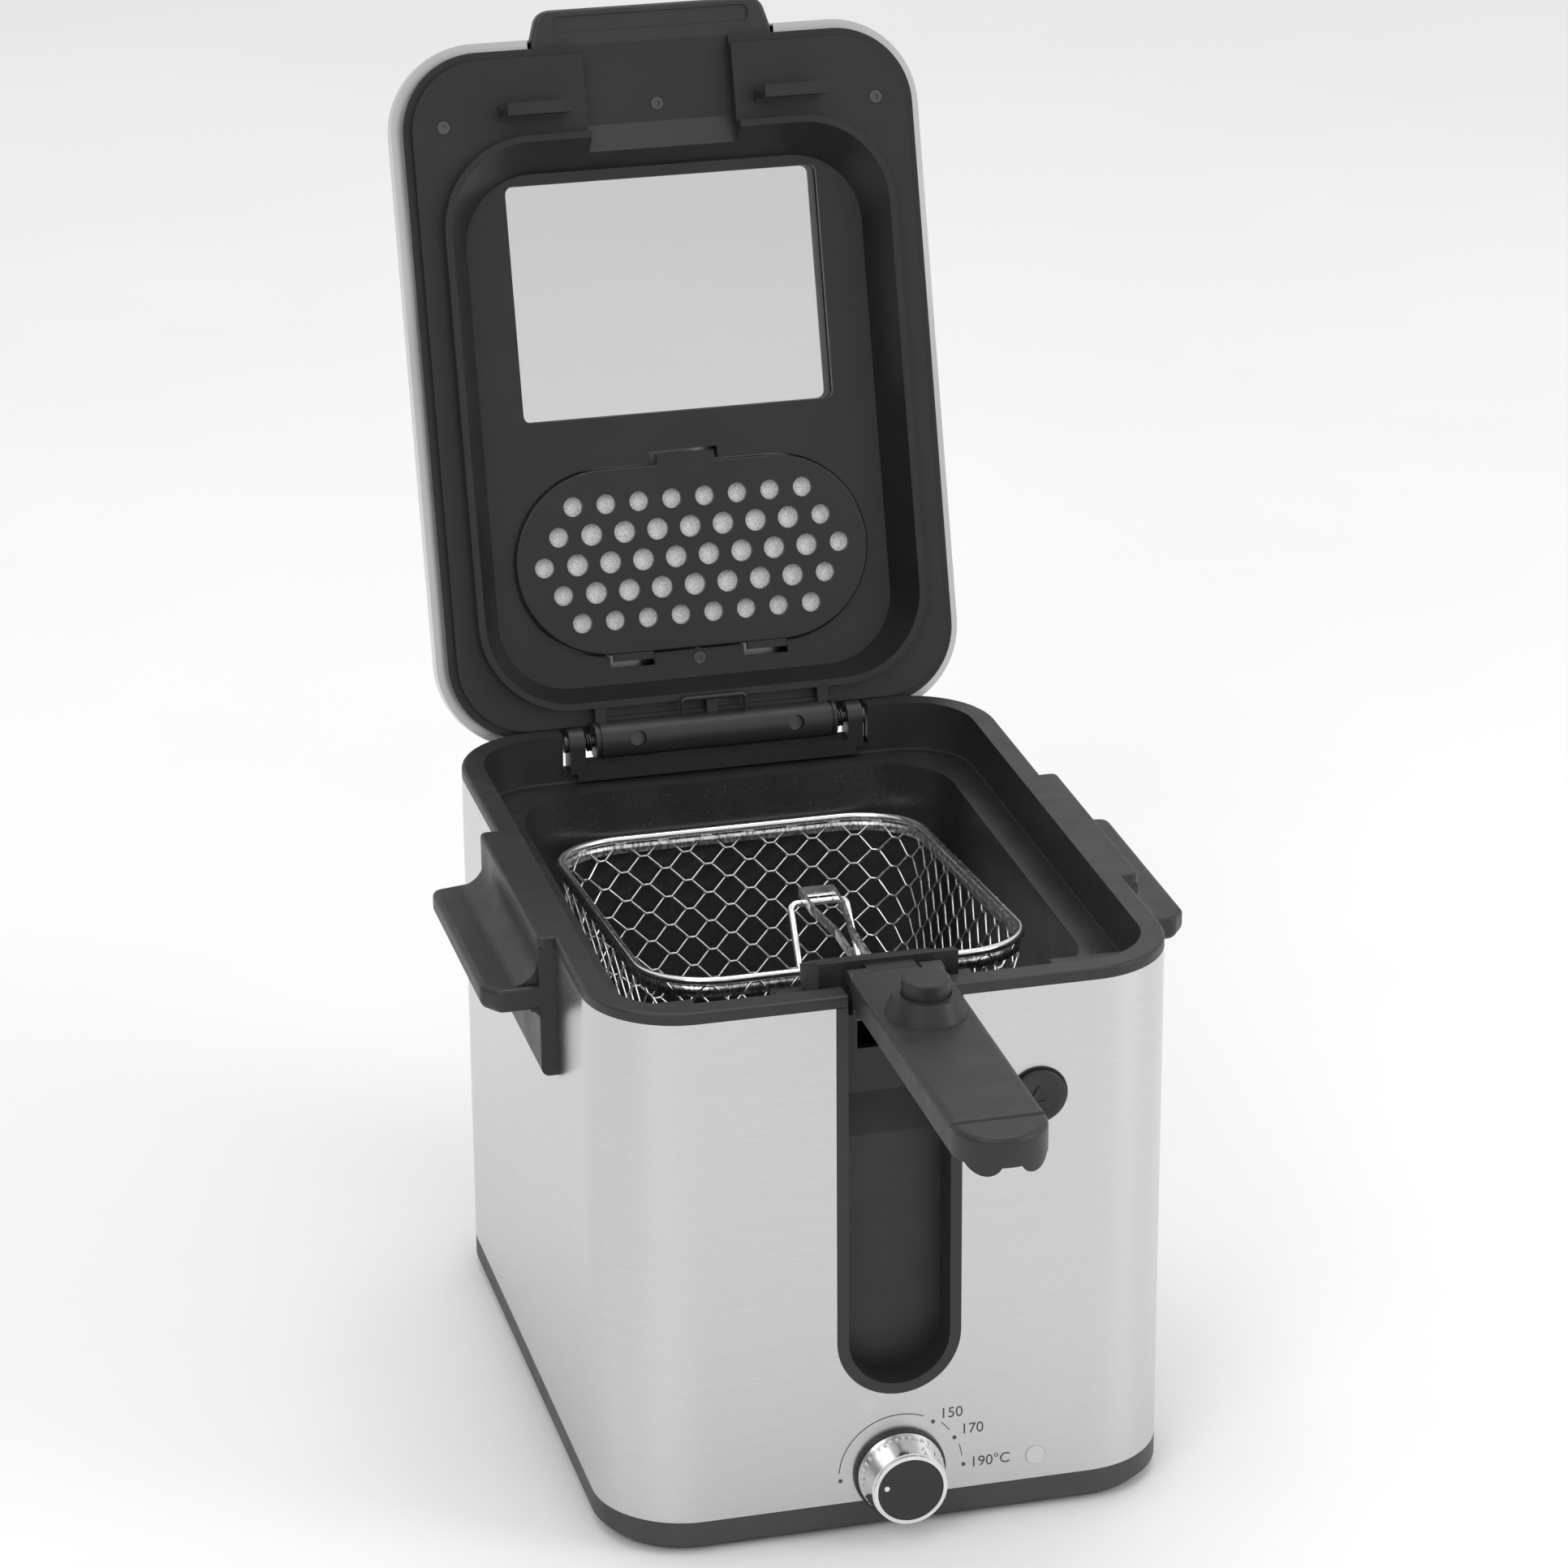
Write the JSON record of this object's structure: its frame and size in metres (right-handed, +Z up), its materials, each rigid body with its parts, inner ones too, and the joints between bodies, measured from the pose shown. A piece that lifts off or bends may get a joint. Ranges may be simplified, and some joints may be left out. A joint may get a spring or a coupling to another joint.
{
  "type": "deep fryer",
  "caption": "Compact steel deep fryer, lid open with window and filter, wire basket with folding handle, side handles, front dial and lid release",
  "frame": {"origin": "centre of the underside, on the plane the feet stand on", "axes": "X to the right seen from the front, Y to the back, Z up"},
  "size_m": [0.249, 0.4839, 0.4494],
  "materials": {
    "steel_shell": "satin, fine horizontal grain",
    "black_plastic": "fine matte",
    "lid_plastic": "fine matte",
    "base_plastic": "matte",
    "foot_rubber": "matte",
    "pot_coating": "dark non-stick, faint speckle",
    "seal_rubber": "matte",
    "zinc_screw": "zinc plated",
    "heater_metal": "dull",
    "shield_metal": "dull sheet",
    "knob_chrome": "bright",
    "wire_chrome": "bright",
    "white_mark": "plain",
    "lens": "frosted",
    "lamp": "clear",
    "pane": "clear",
    "fleece": "speckled grey fleece",
    "fitting_plastic": "plain"
  },
  "bodies": {
    "housing": {"base_tray": "base_plastic", "feet": "foot_rubber", "base_screws": "zinc_screw", "outer_shell": "steel_shell", "rim_frame": "black_plastic", "recess_panel": "black_plastic", "inner_pot": "pot_coating", "pot_seal": "seal_rubber", "heating_element": "heater_metal", "heat_shield": "shield_metal", "thermal_cutout": "fitting_plastic", "capillary_bulb": "heater_metal", "thermostat_body": "fitting_plastic", "knob_bezel": "black_plastic", "indicator_lens": "lens", "indicator_lamp": "lamp", "terminal_block": "fitting_plastic", "cord_inlet": "black_plastic", "button_housing": "black_plastic", "lever_pin": "zinc_screw", "release_spring": "zinc_screw", "carry_handle_left": "black_plastic", "carry_handle_right": "black_plastic", "handle_screws": "zinc_screw", "hinge_bracket": "black_plastic", "bracket_screws": "zinc_screw", "hinge_pins": "zinc_screw", "hinge_springs": "zinc_screw"},
    "knob": {"thermostat_shaft": "heater_metal", "knob_ring": "knob_chrome", "knob_core": "black_plastic", "knob_face": "black_plastic", "knob_pointer": "white_mark"},
    "release_button": {"lid_release_button": "black_plastic"},
    "catch_lever": {"release_lever": "black_plastic"},
    "lid": {"hinge_barrel": "black_plastic", "barrel_screws": "zinc_screw", "retaining_clip": "black_plastic", "lid_frame": "lid_plastic", "lid_skin": "steel_shell", "pull_tab": "black_plastic", "lid_screws": "zinc_screw", "window_glass": "pane", "window_gasket": "seal_rubber", "filter_mat": "fleece"},
    "filter_door": {"filter_cover": "lid_plastic"},
    "basket": {"basket_mesh": "wire_chrome", "basket_rim_wire": "wire_chrome", "basket_bracket": "wire_chrome", "handle_strap": "wire_chrome", "handle_collar": "black_plastic", "grip_pivot_pin": "zinc_screw"},
    "handle": {"grip": "black_plastic", "button_spring": "zinc_screw"},
    "handle_push": {"handle_button": "black_plastic"}
  },
  "joints": [
    {"name": "lid_hinge", "type": "hinge", "parent": "housing", "child": "lid", "pos_m": [0, 0.125, 0.1965], "axis": [-1, 0, 0], "range_deg": [-106.77, 0]},
    {"name": "filter_cover_hinge", "type": "hinge", "parent": "lid", "child": "filter_door", "pos_m": [0, 0.14591, 0.22049], "axis": [1, 0, 0], "range_deg": [0, 60]},
    {"name": "basket_lift", "type": "slide", "parent": "housing", "child": "basket", "axis": [0, 0, 1], "range_m": [0, 0.2]},
    {"name": "handle_fold", "type": "hinge", "parent": "basket", "child": "handle", "pos_m": [0, -0.124, 0.1995], "axis": [-1, 0, 0], "range_deg": [-90, 0]},
    {"name": "handle_button_press", "type": "slide", "parent": "handle", "child": "handle_push", "axis": [0, 0, 1], "range_m": [-0.003, 0], "stiffness_N_per_m": 300, "deforming": ["button_spring"]},
    {"name": "lid_release_press", "type": "slide", "parent": "housing", "child": "release_button", "axis": [0, -1, 0], "range_m": [-0.003, 0], "stiffness_N_per_m": 400},
    {"name": "catch_lever_rock", "type": "hinge", "parent": "housing", "child": "catch_lever", "pos_m": [0, -0.118, 0.176], "axis": [-1, 0, 0], "range_deg": [-10, 0]},
    {"name": "thermostat_knob", "type": "hinge", "parent": "housing", "child": "knob", "pos_m": [0, -0.13, 0.0226], "axis": [0, 1, 0], "range_deg": [0, 175]}
  ],
  "couplings": [
    {"joint": "catch_lever_rock", "follows": "lid_release_press", "rad_per_m": 54.054}
  ]
}
